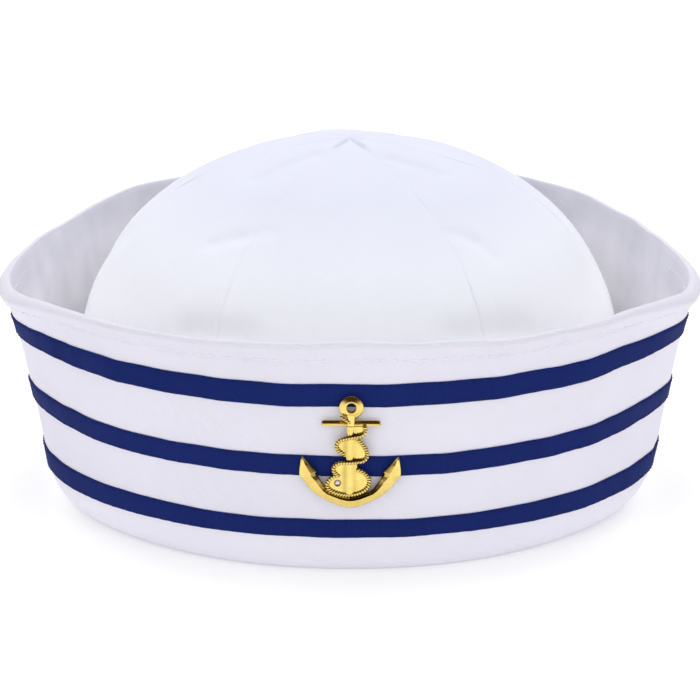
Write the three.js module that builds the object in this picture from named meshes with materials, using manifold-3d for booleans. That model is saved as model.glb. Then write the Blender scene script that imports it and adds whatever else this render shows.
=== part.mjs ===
// A sailor-style captain hat: a six-panel domed crown, a turned-up brim with three tapes, an anchor badge.
import * as THREE from "three";
import Module from "manifold-3d";
import { mergeVertices } from "three/addons/utils/BufferGeometryUtils.js";

// Sizes in millimetres. X runs across the hat, Y from front to back, Z up.
const OPENING_WIDTH = 175; // head opening, side to side
const OPENING_LENGTH = 185; // head opening, front to back
const HAT_HEIGHT = 110; // floor to the top of the crown
const RIM_HEIGHT = 73.6; // floor to the rim of the brim
const BRIM_FLARE = 20; // how far a share of 1 in the brim table stands out from the opening
const BRIM_WALL = 2; // two layers of cloth
const HEM_WALL = 3; // rolled hem on the rim
const HEM_DEPTH = 6;
const LEG_WALL = 1.6; // short inner leg of the brim, under the crown
const LEG_HEIGHT = 6;
const CROWN_WALL = 1.4;
const TIP_RADIUS = 1.2; // open spot where the six tips meet
const SEAM_PULL = 0.5; // how far a seam sits below the middle of a panel
const TAPE_WIDTH = 6.2;
const TAPE_WALL = 1;
const BADGE_WIDTH = 30.4;
const BADGE_HEIGHT = 35;
const BADGE_FOOT = 24.7; // floor to the foot of the badge
const BADGE_PLATE = 0.9; // stamped sheet behind the rope
const ROPE_RADIUS = 0.72;
const GAP = 0.3; // air between neighbouring pieces

const PANELS = 6;
const PANEL_COLUMNS = 8; // facets across a panel
const TURNS = 80; // facets round the brim

// Half of the brim's plan, from the front (0) to the back (180 degrees). The shares of BRIM_FLARE tell how
// far the outer face stands out from the opening at the fold, the three tapes and the rim.
// The pinched corner is the row at 67 degrees.
const BRIM_PLAN = [
  { azimuth: 0, fold: 0.36, low: 0.64, middle: 0.78, high: 0.77, rim: 0.71 },
  { azimuth: 20, fold: 0.41, low: 0.66, middle: 0.81, high: 0.84, rim: 0.76 },
  { azimuth: 40, fold: 0.44, low: 0.72, middle: 0.87, high: 0.91, rim: 0.79 },
  { azimuth: 52, fold: 0.43, low: 0.76, middle: 0.86, high: 0.92, rim: 0.94 },
  { azimuth: 60, fold: 0.42, low: 0.78, middle: 0.87, high: 1.01, rim: 1.17 },
  { azimuth: 67, fold: 0.4, low: 0.75, middle: 0.89, high: 1.09, rim: 1.4 },
  { azimuth: 73, fold: 0.36, low: 0.66, middle: 0.86, high: 1.09, rim: 1.34 },
  { azimuth: 80, fold: 0.32, low: 0.53, middle: 0.71, high: 0.89, rim: 1.09 },
  { azimuth: 90, fold: 0.29, low: 0.43, middle: 0.6, high: 0.67, rim: 0.8 },
  { azimuth: 105, fold: 0.29, low: 0.4, middle: 0.5, high: 0.55, rim: 0.63 },
  { azimuth: 120, fold: 0.3, low: 0.46, middle: 0.51, high: 0.56, rim: 0.61 },
  { azimuth: 140, fold: 0.33, low: 0.53, middle: 0.61, high: 0.66, rim: 0.71 },
  { azimuth: 160, fold: 0.35, low: 0.58, middle: 0.69, high: 0.71, rim: 0.74 },
  { azimuth: 180, fold: 0.36, low: 0.6, middle: 0.71, high: 0.73, rim: 0.73 },
];

// The tapes, each at the share of the rim's height where its middle lies.
const TAPES = [
  { name: "stripe_bottom", column: "low", level: 0.215 },
  { name: "stripe_middle", column: "middle", level: 0.501 },
  { name: "stripe_top", column: "high", level: 0.796 },
];

// The crown's profile from its lower edge to its top: shares of its radius and of its own height.
const CROWN_PROFILE = [
  { out: 1, up: 0 },
  { out: 1, up: 0.108 },
  { out: 0.995, up: 0.215 },
  { out: 0.985, up: 0.322 },
  { out: 0.967, up: 0.4285 },
  { out: 0.928, up: 0.531 },
  { out: 0.869, up: 0.628 },
  { out: 0.794, up: 0.714 },
  { out: 0.702, up: 0.789 },
  { out: 0.599, up: 0.851 },
  { out: 0.487, up: 0.9 },
  { out: 0.369, up: 0.936 },
  { out: 0.247, up: 0.965 },
  { out: 0.125, up: 0.988 },
  { out: 0, up: 1 },
];

// Soft dents in the crown: where they lie, how far they reach in degrees and in shares of its height,
// and their depth in wall thicknesses.
const DENTS = [
  { azimuth: -35, up: 0.81, wide: 11, tall: 0.05, deep: 0.8 },
  { azimuth: 37, up: 0.8, wide: 11, tall: 0.05, deep: 0.8 },
  { azimuth: -55, up: 0.95, wide: 32, tall: 0.03, deep: 0.7 },
  { azimuth: 49, up: 0.95, wide: 32, tall: 0.03, deep: 0.7 },
];

// Where the panels are named from, in degrees from the front towards +X.
const PANEL_NAMES = ["front", "front_right", "back_right", "back", "back_left", "front_left"];

// One arm of the anchor from its tip to the middle: outer and inner edge as shares of the badge's half
// width and of its height. The fourth row is the notch under the barb.
const ARM = [
  { outerAcross: 0.935, outerUp: 0.468, innerAcross: 0.92, innerUp: 0.464 },
  { outerAcross: 0.998, outerUp: 0.395, innerAcross: 0.8, innerUp: 0.395 },
  { outerAcross: 1, outerUp: 0.29, innerAcross: 0.65, innerUp: 0.322 },
  { outerAcross: 0.96, outerUp: 0.245, innerAcross: 0.69, innerUp: 0.3 },
  { outerAcross: 0.75, outerUp: 0.163, innerAcross: 0.57, innerUp: 0.25 },
  { outerAcross: 0.53, outerUp: 0.085, innerAcross: 0.38, innerUp: 0.165 },
  { outerAcross: 0.285, outerUp: 0.024, innerAcross: 0.19, innerUp: 0.11 },
  { outerAcross: 0, outerUp: 0, innerAcross: 0, innerUp: 0.085 },
];

// The rope round the shank, in the same shares. Where lift is 1 it crosses in front of the shank.
const ROPE = [
  { across: 0.274, up: 0.731, lift: 0 },
  { across: 0.008, up: 0.641, lift: 1 },
  { across: -0.255, up: 0.571, lift: 0 },
  { across: -0.215, up: 0.53, lift: 0 },
  { across: 0, up: 0.5, lift: 0 },
  { across: 0.13, up: 0.55, lift: 0 },
  { across: 0.28, up: 0.545, lift: 0 },
  { across: 0.33, up: 0.49, lift: 0 },
  { across: 0.24, up: 0.444, lift: 0 },
  { across: 0.037, up: 0.431, lift: 1 },
  { across: -0.29, up: 0.4, lift: 0 },
  { across: -0.347, up: 0.347, lift: 0 },
  { across: -0.243, up: 0.311, lift: 0 },
  { across: -0.02, up: 0.33, lift: 0 },
  { across: 0.149, up: 0.34, lift: 0 },
  { across: 0.294, up: 0.314, lift: 0 },
  { across: 0.358, up: 0.257, lift: 0 },
  { across: 0.294, up: 0.197, lift: 0 },
  { across: 0.149, up: 0.161, lift: 0 },
  { across: -0.076, up: 0.141, lift: 0 },
  { across: -0.354, up: 0.18, lift: 0 },
  { across: -0.495, up: 0.243, lift: 0 },
  { across: -0.425, up: 0.299, lift: 0 },
];

// The lobes that the sheet fills behind the rope, each between two rows of it.
const LOBES = [
  { first: 1, last: 4 },
  { first: 5, last: 9 },
  { first: 9, last: 13 },
  { first: 14, last: 22 },
];

const EYE = { up: 0.893, radius: 0.103, hole: 0.037, thick: 1.6 }; // radii are shares of the badge's height
const STOCK = { up: 0.772, reach: 0.56, tall: 0.048, thick: 2 };
const SHANK = { top: 0.8, bottom: 0.1, upperHalf: 0.07, lowerHalf: 0.095, edge: 1.3, ridge: 2 };
const ARM_RELIEF = { edge: 0.9, ridge: 2.3, ridgeAt: 0.55 };
const THREAD_HOLE = { across: -0.255, up: 0.233, radius: 0.026 };

const degrees = (angle) => (angle * Math.PI) / 180;

// A smooth curve through (xs, ys): cubic pieces whose slopes are those between the neighbouring points.
// Below the first point it runs on straight.
function curveAt(xs, ys, x, levelEnds) {
  const last = xs.length - 1;
  const slopeAt = (i) => {
    if (levelEnds && (i === 0 || i === last)) return 0;
    const from = Math.max(0, i - 1);
    const to = Math.min(last, i + 1);
    return (ys[to] - ys[from]) / (xs[to] - xs[from]);
  };
  if (x <= xs[0]) return ys[0] + (x - xs[0]) * slopeAt(0);
  let i = 0;
  while (i < last - 1 && x > xs[i + 1]) i += 1;
  const span = xs[i + 1] - xs[i];
  const t = Math.min(1, (x - xs[i]) / span);
  const start = (1 + 2 * t) * (1 - t) ** 2 * ys[i] + t * (1 - t) ** 2 * span * slopeAt(i);
  const end = t * t * (3 - 2 * t) * ys[i + 1] - t * t * (1 - t) * span * slopeAt(i + 1);
  return start + end;
}

// Distance from the middle to the oval head opening at an azimuth in degrees from the front.
function openingRadius(azimuth) {
  const across = Math.sin(degrees(azimuth)) / (OPENING_WIDTH / 2);
  const along = Math.cos(degrees(azimuth)) / (OPENING_LENGTH / 2);
  return 1 / Math.hypot(across, along);
}

function place(azimuth, radius, height) {
  const angle = degrees(azimuth);
  return new THREE.Vector3(radius * Math.sin(angle), -radius * Math.cos(angle), height);
}

// A closed body through a row of loops with equally many points. A ring joins its last loop to its first.
// Otherwise both ends are closed by pairing the points of a loop from its two ends inwards.
function loft(loops, isRing) {
  const count = loops[0].length;
  const positions = loops.flat().flatMap((point) => [point.x, point.y, point.z]);
  const indices = [];
  const sides = isRing ? loops.length : loops.length - 1;
  for (let k = 0; k < sides; k += 1) {
    const near = k * count;
    const far = ((k + 1) % loops.length) * count;
    for (let i = 0; i < count; i += 1) {
      const j = (i + 1) % count;
      indices.push(near + i, far + i, far + j);
      indices.push(near + i, far + j, near + j);
    }
  }
  if (!isRing) {
    const endStart = (loops.length - 1) * count;
    for (let i = 0; i < count - 2 - i; i += 1) {
      const other = count - 1 - i;
      indices.push(i, i + 1, other);
      indices.push(endStart + i, endStart + other, endStart + i + 1);
      if (i + 1 < other - 1) {
        indices.push(i + 1, other - 1, other);
        indices.push(endStart + i + 1, endStart + other, endStart + other - 1);
      }
    }
  }
  const geometry = new THREE.BufferGeometry();
  geometry.setAttribute("position", new THREE.Float32BufferAttribute(positions, 3));
  geometry.setIndex(indices);
  if (signedVolume(geometry) < 0) {
    for (let i = 0; i < indices.length; i += 3) {
      [indices[i], indices[i + 1]] = [indices[i + 1], indices[i]];
    }
    geometry.setIndex(indices);
  }
  return geometry;
}

function signedVolume(geometry) {
  const position = geometry.attributes.position;
  const index = geometry.index.array;
  const a = new THREE.Vector3();
  const b = new THREE.Vector3();
  const c = new THREE.Vector3();
  let volume = 0;
  for (let i = 0; i < index.length; i += 3) {
    a.fromBufferAttribute(position, index[i]);
    b.fromBufferAttribute(position, index[i + 1]);
    c.fromBufferAttribute(position, index[i + 2]);
    volume += a.dot(b.cross(c)) / 6;
  }
  return volume;
}

// Crown panels. The lower edge stands over the brim's inner leg.
const CROWN_FOOT = LEG_HEIGHT + GAP;

function dentDepth(azimuth, up) {
  let depth = 0;
  for (const dent of DENTS) {
    const turn = (azimuth - dent.azimuth) / dent.wide;
    const rise = (up - dent.up) / dent.tall;
    depth += dent.deep * CROWN_WALL * Math.exp(-turn * turn - rise * rise);
  }
  return depth;
}

// Outward direction of the crown's profile at a row, as [out, up].
function profileNormal(row) {
  const before = CROWN_PROFILE[Math.max(0, row - 1)];
  const after = CROWN_PROFILE[Math.min(CROWN_PROFILE.length - 1, row + 1)];
  const run = (after.out - before.out) * (OPENING_LENGTH / 2 + CROWN_WALL);
  const rise = (after.up - before.up) * (HAT_HEIGHT - CROWN_FOOT);
  const length = Math.hypot(run, rise);
  return [rise / length, -run / length];
}

function crownPoint(middle, across, row, depth) {
  const { out, up } = CROWN_PROFILE[row];
  const [normalOut, normalUp] = profileNormal(row);
  const near = middle + (across * 180) / PANELS;
  const folded = near > 180 ? near - 360 : near;
  const inset = depth + SEAM_PULL * across ** 4 * Math.min(1, 4 * out) + dentDepth(folded, up);
  const full = out * (openingRadius(near) + CROWN_WALL);
  const radius = Math.max(full - inset * normalOut, TIP_RADIUS);
  const seamShift = Math.asin(Math.min(1, GAP / 2 / radius));
  const halfAngle = 180 / PANELS - (seamShift * 180) / Math.PI;
  const height = CROWN_FOOT + up * (HAT_HEIGHT - CROWN_FOOT) - inset * normalUp;
  return place(middle + across * halfAngle, radius, height);
}

function crownPanel(middle) {
  const shares = [];
  for (let i = 0; i <= PANEL_COLUMNS; i += 1) shares.push((2 * i) / PANEL_COLUMNS - 1);
  const loops = CROWN_PROFILE.map((unused, row) => {
    const outer = shares.map((across) => crownPoint(middle, across, row, 0));
    const inner = shares.map((across) => crownPoint(middle, across, row, CROWN_WALL));
    return [...outer, ...inner.reverse()];
  });
  return loft(loops, false);
}

// Brim. Its outer face, in the upright plane of an azimuth.
const LOW_LEVEL = TAPES[0].level * RIM_HEIGHT;
const WALL_LEVELS = [...TAPES.map((tape) => tape.level), 1].map((level) => level * RIM_HEIGHT);
const WALL_COLUMNS = [...TAPES.map((tape) => tape.column), "rim"];
const PLAN_AZIMUTHS = BRIM_PLAN.map((row) => row.azimuth);

function planShare(azimuth, column) {
  const half = azimuth > 180 ? 360 - azimuth : azimuth;
  const shares = BRIM_PLAN.map((row) => row[column]);
  return curveAt(PLAN_AZIMUTHS, shares, half, true);
}

function brimRadius(azimuth, height) {
  const shares = WALL_COLUMNS.map((column) => planShare(azimuth, column));
  const wall = curveAt(WALL_LEVELS, shares, height, false);
  const turn = Math.max(0, 1 - height / LOW_LEVEL);
  const drop = (planShare(azimuth, "low") - planShare(azimuth, "fold")) * turn ** 2.4;
  return openingRadius(azimuth) + BRIM_FLARE * (wall - drop);
}

// Heights of the outer face's rows: the turn of the fold, both edges of each tape and the middle of the
// cloth between them, then the hem. keep marks the rows that the inner face has too.
function brimRows() {
  const edges = TAPES.map(({ level }) => ({
    under: level * RIM_HEIGHT - TAPE_WIDTH / 2,
    over: level * RIM_HEIGHT + TAPE_WIDTH / 2,
  }));
  const rows = [
    { height: 0, keep: true },
    { height: edges[0].under * 0.1, keep: true },
    { height: edges[0].under * 0.32, keep: true },
    { height: edges[0].under * 0.63, keep: true },
  ];
  edges.forEach(({ under, over }, i) => {
    rows.push({ height: under, keep: false });
    rows.push({ height: over, keep: true });
    if (i < edges.length - 1) {
      rows.push({ height: (over + edges[i + 1].under) / 2, keep: true });
    }
  });
  rows.push({ height: RIM_HEIGHT - HEM_DEPTH, keep: true });
  return rows;
}

const BRIM_ROWS = brimRows();

// Point at a depth under the outer face, measured along that face's normal.
function underFace(azimuth, height, depth) {
  const step = 0.5;
  const radius = brimRadius(azimuth, height);
  const slope = (brimRadius(azimuth, height + step) - radius) / step;
  const length = Math.hypot(1, slope);
  return [radius - depth / length, height + (depth * slope) / length];
}

function brimSection(azimuth) {
  const opening = openingRadius(azimuth);
  const outer = BRIM_ROWS.map(({ height }) => underFace(azimuth, height, 0));
  const kept = BRIM_ROWS.filter((row) => row.keep).slice(1);
  const inner = kept.map(({ height }) => underFace(azimuth, height, BRIM_WALL)).reverse();
  const rim = brimRadius(azimuth, RIM_HEIGHT);
  const shoulder = RIM_HEIGHT - HEM_WALL * 0.4;
  const edge = brimRadius(azimuth, shoulder);
  const hemFoot = RIM_HEIGHT - HEM_DEPTH;
  const hem = [
    [edge, shoulder],
    [rim - HEM_WALL * 0.25, RIM_HEIGHT],
    [rim - HEM_WALL * 0.75, RIM_HEIGHT],
    [edge - HEM_WALL, shoulder],
    underFace(azimuth, hemFoot + HEM_WALL * 0.3, HEM_WALL),
  ];
  const foldFloor = [outer[0][0] - BRIM_WALL * 0.4, BRIM_WALL];
  const leg = [
    [opening + LEG_WALL, BRIM_WALL],
    [opening + LEG_WALL, LEG_HEIGHT],
    [opening, LEG_HEIGHT],
    [opening, LEG_WALL * 0.6],
    [opening + LEG_WALL * 0.6, 0],
  ];
  return [...outer, ...hem, ...inner, foldFloor, ...leg];
}

function ring(sectionAt) {
  const loops = [];
  for (let i = 0; i < TURNS; i += 1) {
    const azimuth = (360 * i) / TURNS;
    loops.push(sectionAt(azimuth).map(([radius, height]) => place(azimuth, radius, height)));
  }
  return loft(loops, true);
}

// A tape lies on the brim with its two edges on rows of the outer face.
function tapeSection(azimuth, level) {
  const under = level * RIM_HEIGHT - TAPE_WIDTH / 2;
  const over = level * RIM_HEIGHT + TAPE_WIDTH / 2;
  const low = brimRadius(azimuth, under);
  const high = brimRadius(azimuth, over);
  const length = Math.hypot(high - low, over - under);
  const normal = [(over - under) / length, (low - high) / length];
  const off = (radius, height, lift) => [radius + lift * normal[0], height + lift * normal[1]];
  return [
    off(low, under, GAP),
    off(low, under, GAP + TAPE_WALL),
    off(high, over, GAP + TAPE_WALL),
    off(high, over, GAP),
  ];
}

// Anchor badge, drawn flat: X across, Y up the badge from its foot, Z out of the brim.
const wasm = await Module();
wasm.setup();

function toManifold(geometry) {
  const bare = geometry.clone();
  bare.deleteAttribute("normal");
  bare.deleteAttribute("uv");
  const merged = mergeVertices(bare, 1e-4);
  return new wasm.Manifold(
    new wasm.Mesh({
      numProp: 3,
      vertProperties: new Float32Array(merged.attributes.position.array),
      triVerts: new Uint32Array(merged.index.array),
    }),
  );
}

function fromManifold(body) {
  const mesh = body.getMesh();
  const geometry = new THREE.BufferGeometry();
  geometry.setAttribute("position", new THREE.Float32BufferAttribute(mesh.vertProperties, 3));
  geometry.setIndex(Array.from(mesh.triVerts));
  return geometry;
}

const acrossBadge = (share) => (share * BADGE_WIDTH) / 2;
const upBadge = (share) => share * BADGE_HEIGHT;

function eyeRing() {
  const inner = EYE.hole * BADGE_HEIGHT;
  const outer = EYE.radius * BADGE_HEIGHT;
  const profile = [
    [inner, 0],
    [outer, 0],
    [outer, EYE.thick * 0.6],
    [outer - EYE.thick * 0.4, EYE.thick],
    [inner + EYE.thick * 0.3, EYE.thick],
    [inner, EYE.thick * 0.7],
    [inner, 0],
  ];
  const geometry = new THREE.LatheGeometry(
    profile.map(([radius, height]) => new THREE.Vector2(radius, height)),
    20,
  );
  geometry.rotateX(Math.PI / 2);
  geometry.translate(0, upBadge(EYE.up), 0);
  return geometry;
}

// A bar with a ridge, through rows of left edge, right edge, and the heights of edge and ridge.
function ridgedBar(rows) {
  const loops = rows.map(({ left, right, edge, ridge }) => {
    const middle = left.clone().lerp(right, 0.5);
    return [
      new THREE.Vector3(left.x, left.y, 0),
      new THREE.Vector3(left.x, left.y, edge),
      new THREE.Vector3(middle.x, middle.y, ridge),
      new THREE.Vector3(right.x, right.y, edge),
      new THREE.Vector3(right.x, right.y, 0),
    ];
  });
  return loft(loops, false);
}

function shankBar() {
  const row = (up, half) => ({
    left: new THREE.Vector2(-acrossBadge(half), upBadge(up)),
    right: new THREE.Vector2(acrossBadge(half), upBadge(up)),
    edge: SHANK.edge,
    ridge: SHANK.ridge,
  });
  return ridgedBar([row(SHANK.bottom, SHANK.lowerHalf), row(SHANK.top, SHANK.upperHalf)]);
}

function stockBar() {
  const row = (side) => ({
    left: new THREE.Vector2(side * acrossBadge(STOCK.reach), upBadge(STOCK.up - STOCK.tall / 2)),
    right: new THREE.Vector2(side * acrossBadge(STOCK.reach), upBadge(STOCK.up + STOCK.tall / 2)),
    edge: STOCK.thick / 2,
    ridge: STOCK.thick,
  });
  return ridgedBar([row(-1), row(1)]);
}

// Both arms as one bevelled crescent, from tip to tip.
function arms() {
  const half = (side) =>
    ARM.map(({ outerAcross, outerUp, innerAcross, innerUp }, i) => {
      const outer = new THREE.Vector2(side * acrossBadge(outerAcross), upBadge(outerUp));
      const inner = new THREE.Vector2(side * acrossBadge(innerAcross), upBadge(innerUp));
      const crest = outer.clone().lerp(inner, ARM_RELIEF.ridgeAt);
      const ridge = i === 0 ? ARM_RELIEF.edge * 1.2 : ARM_RELIEF.ridge;
      return [
        new THREE.Vector3(outer.x, outer.y, 0),
        new THREE.Vector3(outer.x, outer.y, ARM_RELIEF.edge),
        new THREE.Vector3(crest.x, crest.y, ridge),
        new THREE.Vector3(inner.x, inner.y, ARM_RELIEF.edge),
        new THREE.Vector3(inner.x, inner.y, 0),
      ];
    });
  return loft([...half(-1), ...half(1).reverse().slice(1)], false);
}

function ropePoint({ across, up, lift }) {
  const out = BADGE_PLATE + lift * (SHANK.ridge - BADGE_PLATE);
  return new THREE.Vector3(acrossBadge(across), upBadge(up), out);
}

function ropeTube() {
  const path = new THREE.CatmullRomCurve3(ROPE.map(ropePoint));
  const round = new THREE.Shape();
  round.absarc(0, 0, ROPE_RADIUS, 0, 2 * Math.PI, false);
  const settings = { steps: Math.round(ROPE.length * 1.5), curveSegments: 3, bevelEnabled: false, extrudePath: path };
  return new THREE.ExtrudeGeometry(round, settings);
}

// The sheet inside one lobe of the rope.
function lobeSheet({ first, last }) {
  const rows = ROPE.slice(first, last + 1);
  const corners = rows.map((row) => new THREE.Vector2(acrossBadge(row.across), upBadge(row.up)));
  return new THREE.ExtrudeGeometry(new THREE.Shape(corners), { depth: BADGE_PLATE, bevelEnabled: false });
}

function badge() {
  let body = toManifold(arms());
  for (const piece of [shankBar(), stockBar(), eyeRing(), ropeTube()]) {
    body = body.add(toManifold(piece));
  }
  for (const lobe of LOBES) body = body.add(toManifold(lobeSheet(lobe)));
  const drill = new THREE.CylinderGeometry(
    THREAD_HOLE.radius * BADGE_HEIGHT,
    THREAD_HOLE.radius * BADGE_HEIGHT,
    4 * SHANK.ridge,
    10,
  );
  drill.rotateX(Math.PI / 2);
  drill.translate(acrossBadge(THREAD_HOLE.across), upBadge(THREAD_HOLE.up), 0);
  body = body.subtract(toManifold(drill));
  const geometry = fromManifold(body);
  geometry.rotateX(Math.PI / 2);
  geometry.translate(0, badgeBack(), BADGE_FOOT);
  return geometry;
}

// The badge's back clears the foremost tape or cloth behind it.
function badgeBack() {
  let front = 0;
  for (let height = BADGE_FOOT; height <= BADGE_FOOT + BADGE_HEIGHT; height += 1) {
    front = Math.max(front, brimRadius(0, height));
  }
  return -(front + GAP + TAPE_WALL + GAP);
}

function material(color, roughness, metalness) {
  return new THREE.MeshStandardMaterial({ color, roughness, metalness });
}

const hat = new THREE.Group();
hat.name = "captain_hat";

function add(name, geometry, look) {
  const mesh = new THREE.Mesh(geometry, look);
  mesh.name = name;
  hat.add(mesh);
}

PANEL_NAMES.forEach((name, i) => {
  add(`crown_${name}`, crownPanel((360 * i) / PANELS), material(0xf0f1f7, 0.85, 0));
});
add("brim", ring(brimSection), material(0xecebf2, 0.85, 0));
for (const { name, level } of TAPES) {
  add(name, ring((azimuth) => tapeSection(azimuth, level)), material(0x1b2864, 0.75, 0));
}
add("anchor_badge", badge(), material(0xd9b04a, 0.28, 1));

// The middle of the whole hat's footprint stands over the origin.
const bounds = new THREE.Box3().setFromObject(hat);
for (const mesh of hat.children) {
  mesh.geometry.translate(
    -(bounds.min.x + bounds.max.x) / 2,
    -(bounds.min.y + bounds.max.y) / 2,
    -bounds.min.z,
  );
  mesh.geometry.computeVertexNormals();
}

export default hat;
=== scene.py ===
import math
import bpy
import bmesh
import numpy as np
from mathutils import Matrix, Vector


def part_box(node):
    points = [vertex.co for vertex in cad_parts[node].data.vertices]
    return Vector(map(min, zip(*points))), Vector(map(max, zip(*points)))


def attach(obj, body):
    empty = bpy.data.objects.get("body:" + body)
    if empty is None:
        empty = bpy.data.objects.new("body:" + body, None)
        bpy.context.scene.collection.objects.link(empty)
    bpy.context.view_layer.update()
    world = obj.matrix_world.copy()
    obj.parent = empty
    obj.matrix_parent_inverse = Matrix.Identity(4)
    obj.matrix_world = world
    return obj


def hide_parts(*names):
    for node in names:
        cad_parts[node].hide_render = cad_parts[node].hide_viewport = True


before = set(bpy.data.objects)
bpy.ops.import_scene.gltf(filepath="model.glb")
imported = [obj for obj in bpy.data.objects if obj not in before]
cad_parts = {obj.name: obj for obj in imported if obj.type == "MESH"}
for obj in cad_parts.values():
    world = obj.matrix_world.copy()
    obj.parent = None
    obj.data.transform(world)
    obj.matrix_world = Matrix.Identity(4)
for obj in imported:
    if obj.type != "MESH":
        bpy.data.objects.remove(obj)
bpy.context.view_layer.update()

mm = 0.001

# The hat's own middle lies a little behind the frame's origin, because the badge stands out at the front.
crownLow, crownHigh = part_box("crown_front")[0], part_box("crown_back")[1]
middleY = (crownLow[1] + crownHigh[1]) / 2 / mm
badgeLow, badgeHigh = [np.array(corner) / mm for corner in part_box("anchor_badge")]

# What several pieces share, in millimetres.
hat = {
    "openingWidth": 175.0,
    "openingLength": 185.0,
    "top": crownHigh[2] / mm,
    "rim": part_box("brim")[1][2] / mm,
    "flare": 20.0,         # a share of 1 in the brim's plan stands this far out from the opening
    "crownFoot": 6.3,
    "crownGap": 1.4,       # the crown's lower edge stands this far out from the opening
    "weaveRound": 660.0,   # cloth coordinates once round the brim
    "seed": 11,
}

print("frame loaded, hat", round(hat["top"]), "mm tall")


# A smooth curve through points: cubic pieces, each with the slope between its two neighbours. The result
# is a matrix of weights, one row for each x, that multiplies any set of values at the points.
def curveWeights(xs, x, levelEnds=False):
    xs, x = np.asarray(xs, float), np.atleast_1d(np.asarray(x, float))
    last = len(xs) - 1
    slopes = np.zeros((last + 1, last + 1))
    for i in range(last + 1):
        if levelEnds and i in (0, last):
            continue
        a, b = max(0, i - 1), min(last, i + 1)
        slopes[i, b] += 1 / (xs[b] - xs[a])
        slopes[i, a] -= 1 / (xs[b] - xs[a])
    i = np.clip(np.searchsorted(xs, x, side="right") - 1, 0, last - 1)
    span = xs[i + 1] - xs[i]
    t = np.clip((x - xs[i]) / span, 0, 1)
    values = np.eye(last + 1)
    weights = ((1 + 2 * t) * (1 - t) ** 2)[:, None] * values[i]
    weights += (t * (1 - t) ** 2 * span)[:, None] * slopes[i]
    weights += (t * t * (3 - 2 * t))[:, None] * values[i + 1]
    weights -= (t * t * (1 - t) * span)[:, None] * slopes[i + 1]
    weights += np.minimum(0, x - xs[0])[:, None] * slopes[0]    # straight on below the first point
    return weights


# A soft step from 0 at low to 1 at high: t^2 * (3 - 2t).
def smooth(low, high, x):
    t = np.clip((x - low) / (high - low), 0, 1)
    return t * t * (3 - 2 * t)


# Sum of waves round the hat and up it: cos(turns * azimuth + rises * height + phase), each with a seeded
# random phase and strength. It closes on itself after a full turn.
def softWaves(azimuth, height, seed, turns, rises, count=14):
    rng = np.random.default_rng(seed)
    total = 0
    for _ in range(count):
        around = rng.integers(turns[0], turns[1] + 1)
        up = rng.uniform(rises[0], rises[1]) * rng.choice((-1, 1))
        strength = rng.normal()
        total = total + strength * np.cos(around * np.radians(azimuth) + up * height / 10 + rng.uniform(0, 6.283))
    return total / math.sqrt(count)


# Point at a radius and height in the upright plane of an azimuth, in degrees from the front towards +X.
def place(azimuth, radius, height):
    angle = np.radians(azimuth)
    x, y = radius * np.sin(angle), middleY - radius * np.cos(angle)
    return np.stack(np.broadcast_arrays(x, y, height), -1)


# The head opening is an oval: 1 / radius^2 = (sin / half width)^2 + (cos / half length)^2.
def openingRadius(azimuth):
    angle = np.radians(azimuth)
    return 1 / np.hypot(np.sin(angle) / (hat["openingWidth"] / 2), np.cos(angle) / (hat["openingLength"] / 2))


# Running length at each point of a path.
def runLength(path):
    return np.concatenate([[0], np.cumsum(np.linalg.norm(np.diff(path, axis=0), axis=1))])


# Vectors made one long.
def unit(vectors):
    return vectors / np.maximum(np.linalg.norm(vectors, axis=-1, keepdims=True), 1e-9)


# Unit normals of a grid of points: the cross product of the steps along its two directions.
def gridNormals(points):
    return unit(np.cross(np.gradient(points, axis=0), np.gradient(points, axis=1)))


# Quads between the neighbours of a grid. A wrapped direction joins its last row to its first.
def gridQuads(n, m, wrapU, wrapV):
    i, j = np.meshgrid(np.arange(n if wrapU else n - 1), np.arange(m if wrapV else m - 1), indexing="ij")
    iNext, jNext = (i + 1) % n, (j + 1) % m
    return i, j, np.stack([i * m + j, iNext * m + j, iNext * m + jNext, i * m + jNext], -1).reshape(-1, 4)


# A grid of points, in millimetres, as one piece of cloth. weave is a grid of cloth coordinates with one more
# row in each wrapped direction.
def clothPiece(name, points, weave, wrapV, merge=0.0):
    i, j, quads = gridQuads(*points.shape[:2], True, wrapV)
    corners = np.stack([weave[i, j], weave[i + 1, j], weave[i + 1, j + 1], weave[i, j + 1]], 2).reshape(-1, 2)
    return meshPiece(name, points.reshape(-1, 3), quads, corners, None, merge)


# Cloth coordinates of a band's loops, from the running length across them.
def bandWeave(columns, run):
    around = np.linspace(0, hat["weaveRound"], columns + 1)
    return np.stack(np.broadcast_arrays(around[:, None], run[None]), -1)


# Six times the volume inside closed quads is the sum of a . (b x c) + a . (c x d), so its sign tells which
# way they face.
def facingOut(vertices, quads):
    a, b, c, d = [vertices[quads[:, k]] - vertices[0] for k in range(4)]
    return quads if (a * (np.cross(b, c) + np.cross(c, d))).sum() > 0 else quads[:, ::-1]


# corners hold cloth coordinates in millimetres, and patinaAndShade says how dark each point is: tarnish in its
# grooves and painted shade.
def meshPiece(name, vertices, faces, corners=None, patinaAndShade=None, merge=0.0):
    mesh = bpy.data.meshes.new(name)
    mesh.from_pydata((vertices * mm).tolist(), [], faces.tolist())
    if corners is not None:
        mesh.uv_layers.new(name="weave").data.foreach_set("uv", (corners * mm).ravel())
    if patinaAndShade is not None:
        mesh.attributes.new("patinaAndShade", "FLOAT", "POINT").data.foreach_set("value", patinaAndShade)
    edit = bmesh.new()
    edit.from_mesh(mesh)
    if merge:
        bmesh.ops.remove_doubles(edit, verts=edit.verts, dist=merge * mm)
    if edit.calc_volume(signed=True) < 0:
        bmesh.ops.reverse_faces(edit, faces=edit.faces)
    edit.to_mesh(mesh)
    edit.free()
    mesh.polygons.foreach_set("use_smooth", np.ones(len(mesh.polygons), bool))
    mesh.update()
    piece = bpy.data.objects.new(name, mesh)
    bpy.context.scene.collection.objects.link(piece)
    return piece


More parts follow.
